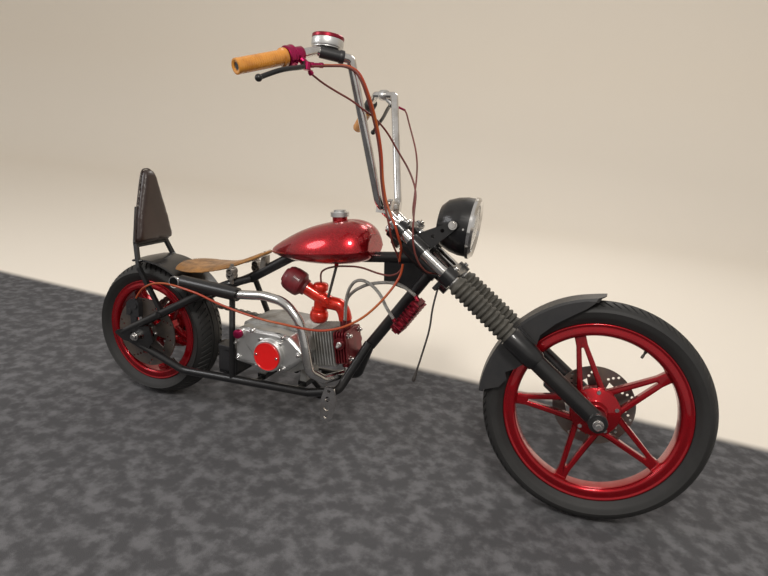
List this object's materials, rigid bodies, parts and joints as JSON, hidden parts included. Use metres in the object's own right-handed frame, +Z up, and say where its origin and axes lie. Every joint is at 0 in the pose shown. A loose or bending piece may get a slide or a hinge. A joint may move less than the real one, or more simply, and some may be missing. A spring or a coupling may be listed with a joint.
{
  "type": "chopper motorcycle",
  "caption": "Small rigid-frame chopper with raked fork, tall handlebar, teardrop tank, sprung saddle and backrest, leaning on its side stand.",
  "frame": {"origin": "on the floor under the middle of the bounding box", "axes": "+X forward along the machine, +Y to the rider's left, +Z up"},
  "size_m": [1.8763, 0.8286, 1.1338],
  "materials": {
    "alloy": "satin cast alloy",
    "amber_rubber": "amber rubber",
    "black_paint": "semi-gloss black paint",
    "black_plastic": "satin black plastic",
    "black_rubber": "dull grey-black rubber",
    "black_sleeve": "black sleeve",
    "braid": "braided steel",
    "brown_leather": "dark brown leather",
    "chrome": "polished chrome",
    "disc_steel": "darkened steel",
    "fins": "dull cast alloy",
    "lens_glass": "clear",
    "orange_sleeve": "orange-red sleeve",
    "red_anodised": "red anodised",
    "red_flake": "candy red metal-flake lacquer",
    "red_paint": "candy red paint",
    "red_plastic": "glossy red",
    "red_sleeve": "dark red sleeve",
    "steel": "dull steel",
    "tan_leather": "worn brown leather",
    "tyre": "dark tyre rubber"
  },
  "bodies": {
    "frame": {"air_filter": "red_plastic", "backrest_pad": "brown_leather", "battery_box": "black_plastic", "carburettor": "red_anodised", "clutch_cover": "alloy", "clutch_cover_disc": "red_plastic", "cylinder_barrel": "fins", "cylinder_head": "red_anodised", "drive_chain": "steel", "engine_crankcase": "fins", "exhaust_header": "alloy", "flywheel_cover": "alloy", "frame_backbone": "black_paint", "frame_down_tube": "black_paint", "frame_lower_rails": "black_paint", "frame_rear_stays": "black_paint", "fuel_cap": "alloy", "fuel_hose": "black_sleeve", "fuel_tank": "red_flake", "oil_cooler": "red_anodised", "oil_line_lower": "braid", "oil_line_upper": "braid", "peg_bracket": "chrome", "rear_axle": "chrome", "rear_brake_cable": "orange_sleeve", "rear_caliper": "black_plastic", "rear_mudguard": "black_paint", "saddle": "tan_leather", "saddle_mounts": "steel", "silencer": "black_paint", "sissy_bar": "black_paint", "throttle_cable": "red_sleeve"},
    "steering": {"bar_brake_cable": "orange_sleeve", "bar_controls": "red_anodised", "bar_gauge": "black_plastic", "bar_risers": "chrome", "bar_throttle_cable": "red_sleeve", "clutch_cable": "black_sleeve", "fork_gaiters": "black_rubber", "fork_lowers": "black_paint", "fork_tubes": "chrome", "fork_yokes": "black_paint", "front_axle": "chrome", "front_caliper": "black_plastic", "front_mudguard": "black_plastic", "hand_grips": "amber_rubber", "handlebar": "chrome", "headlight_bucket": "black_paint", "headlight_lens": "lens_glass", "headlight_rim": "chrome", "instrument_cable": "black_sleeve", "lever_cable": "black_sleeve"},
    "front_wheel": {"front_wheel_rim": "red_paint", "front_tyre": "tyre", "front_brake_disc": "disc_steel"},
    "rear_wheel": {"rear_wheel_rim": "red_paint", "rear_tyre": "tyre", "rear_brake_disc": "disc_steel", "rear_sprocket": "steel"},
    "side_stand": {"side_stand": "black_paint"}
  },
  "joints": [
    {"name": "steering_turn", "type": "hinge", "parent": "frame", "child": "steering", "pos_m": [0.63801, -0.0539, 0.25382], "axis": [-0.8161, 0.0302, 0.5771], "range_deg": [-38.8, 21.2]},
    {"name": "front_wheel_spin", "type": "hinge", "parent": "steering", "child": "front_wheel", "pos_m": [0.65628, -0.04766, 0.27934], "axis": [-0.0884, 0.9803, -0.1764], "continuous": true},
    {"name": "rear_wheel_spin", "type": "hinge", "parent": "frame", "child": "rear_wheel", "pos_m": [-0.7165, -0.0556, 0.2214], "axis": [0, 0.9986, -0.0523], "continuous": true},
    {"name": "side_stand_fold", "type": "hinge", "parent": "frame", "child": "side_stand", "pos_m": [-0.2485, 0.04451, 0.14446], "axis": [0, 1, 0], "range_deg": [0, 95]}
  ]
}
